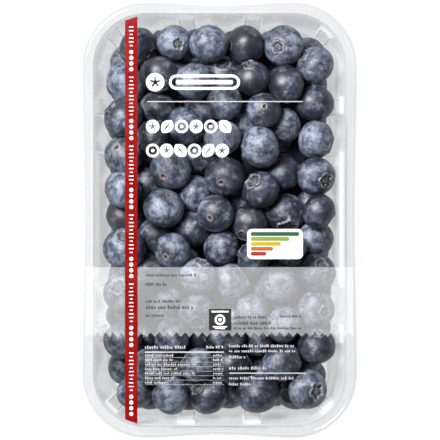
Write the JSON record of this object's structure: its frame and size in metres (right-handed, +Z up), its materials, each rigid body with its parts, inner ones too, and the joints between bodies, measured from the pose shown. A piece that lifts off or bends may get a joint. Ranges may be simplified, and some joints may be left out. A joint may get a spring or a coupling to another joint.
{
  "type": "punnet of blueberries",
  "caption": "Sealed clear tray filled with a heap of loose blueberries, under a clear film with printed stripes, bars and a frosted band.",
  "frame": {"origin": "on the surface it stands on, under the middle of the tray", "axes": "+Z up through the film; +Y along the tray's length, towards the top edge of the print; +X to the right for a reader of the print"},
  "size_m": [0.12, 0.19, 0.0627],
  "materials": {
    "clear_tray": "clear gloss",
    "clear_film": "clear gloss",
    "berry_skin": "satin skin under a dull bloom",
    "red_ink": "satin",
    "frosted_ink": "matt, translucent",
    "white_ink": "satin",
    "black_ink": "satin"
  },
  "bodies": {
    "root": {"tray": "clear_tray", "berries": "berry_skin", "film": "clear_film", "print_stripe": "red_ink", "print_band_left": "frosted_ink", "print_band_right": "frosted_ink", "print_heading": "white_ink", "print_rule": "white_ink", "print_title_upper": "white_ink", "print_title_lower": "white_ink", "print_card": "white_ink", "print_badge": "black_ink"}
  },
  "joints": []
}
